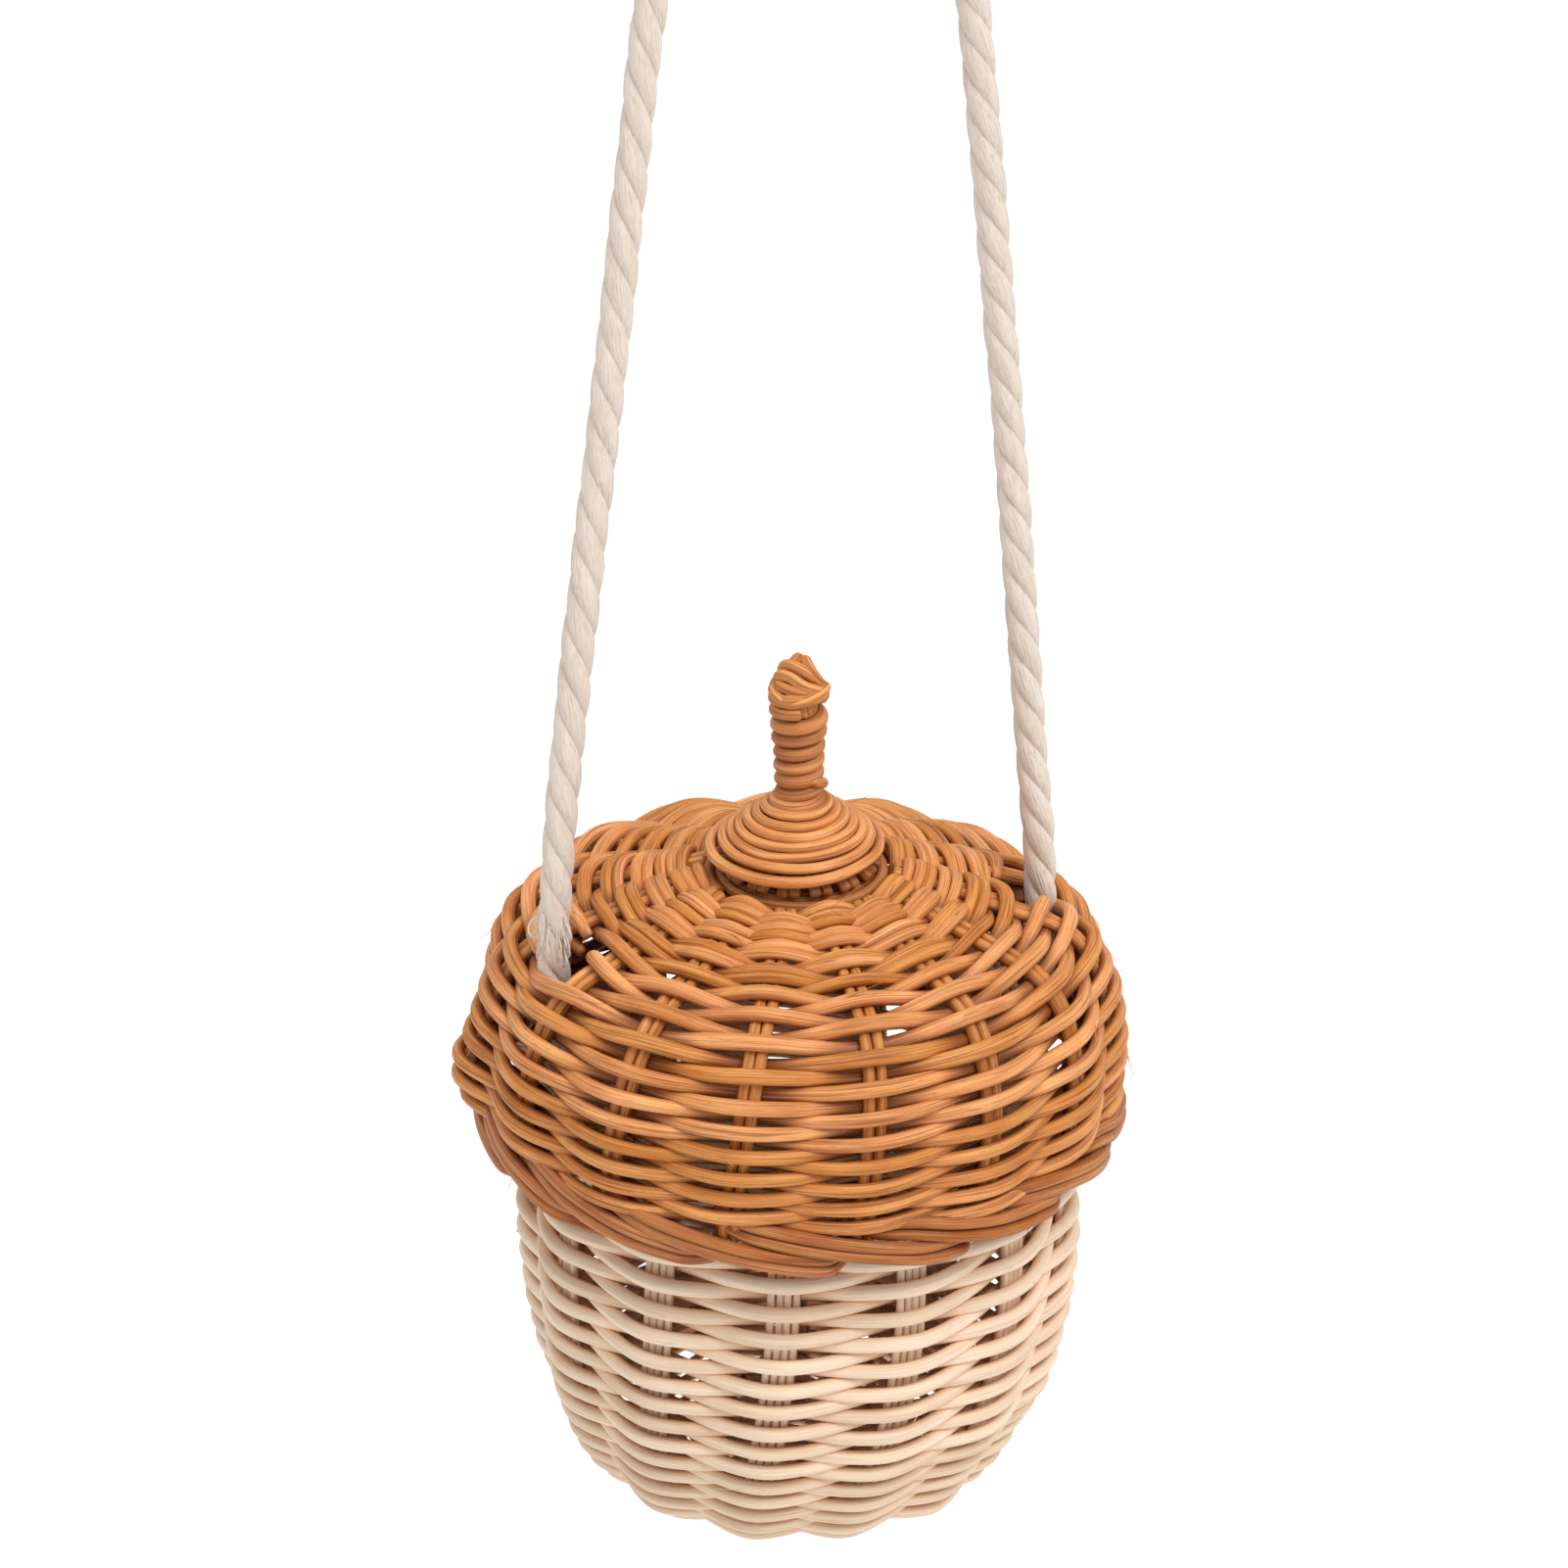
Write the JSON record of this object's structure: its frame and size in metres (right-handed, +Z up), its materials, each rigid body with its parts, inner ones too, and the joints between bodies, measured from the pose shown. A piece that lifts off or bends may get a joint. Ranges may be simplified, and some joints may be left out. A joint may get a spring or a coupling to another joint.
{
  "type": "acorn-shaped basket",
  "caption": "Acorn-shaped woven cane basket: pale lobed bowl, brown domed cap with a wound knob, and a rope strap threaded up through the cap so that the cap slides along it.",
  "frame": {"origin": "the crest of the strap's loop, where the basket hangs, straight above the middle of its base", "axes": "+Z up along the basket's axis, -Y towards the viewer of the picture, +X to the viewer's right"},
  "size_m": [0.167, 0.1668, 0.4541],
  "materials": {
    "natural_cane": "bare peeled cane, satin, pale cream with tan grain",
    "stained_cane": "caramel stained cane, satin, with darker hollows and paler grain",
    "cotton_rope": "three-strand twisted cotton, matt and slightly fuzzy"
  },
  "bodies": {
    "bowl": {"bowl_weave": "natural_cane", "bowl_base": "natural_cane", "bowl_rim": "natural_cane", "bowl_stake_01": "natural_cane", "bowl_stake_02": "natural_cane", "bowl_stake_03": "natural_cane", "bowl_stake_04": "natural_cane", "bowl_stake_05": "natural_cane", "bowl_stake_06": "natural_cane", "bowl_stake_07": "natural_cane", "bowl_stake_08": "natural_cane", "bowl_stake_09": "natural_cane", "bowl_stake_10": "natural_cane", "bowl_stake_11": "natural_cane", "bowl_stake_12": "natural_cane", "bowl_stake_13": "natural_cane", "strap_loop": "cotton_rope", "strap_end_left": "cotton_rope", "strap_end_right": "cotton_rope", "strap_knot_left": "cotton_rope", "strap_knot_right": "cotton_rope"},
    "cap": {"cap_weave": "stained_cane", "cap_border": "stained_cane", "cap_crown": "stained_cane", "cap_stake_01": "stained_cane", "cap_stake_02": "stained_cane", "cap_stake_03": "stained_cane", "cap_stake_04": "stained_cane", "cap_stake_05": "stained_cane", "cap_stake_06": "stained_cane", "cap_stake_07": "stained_cane", "cap_stake_08": "stained_cane", "cap_stake_09": "stained_cane", "cap_stake_10": "stained_cane", "cap_stake_11": "stained_cane", "cap_stake_12": "stained_cane", "cap_stake_13": "stained_cane", "cap_stake_14": "stained_cane", "cap_stake_15": "stained_cane", "knob_core": "stained_cane", "knob_winding": "stained_cane", "knob_tip": "stained_cane"}
  },
  "joints": [
    {"name": "cap_lift", "type": "slide", "parent": "bowl", "child": "cap", "axis": [0, 0, 1], "range_m": [0, 0.045]}
  ]
}
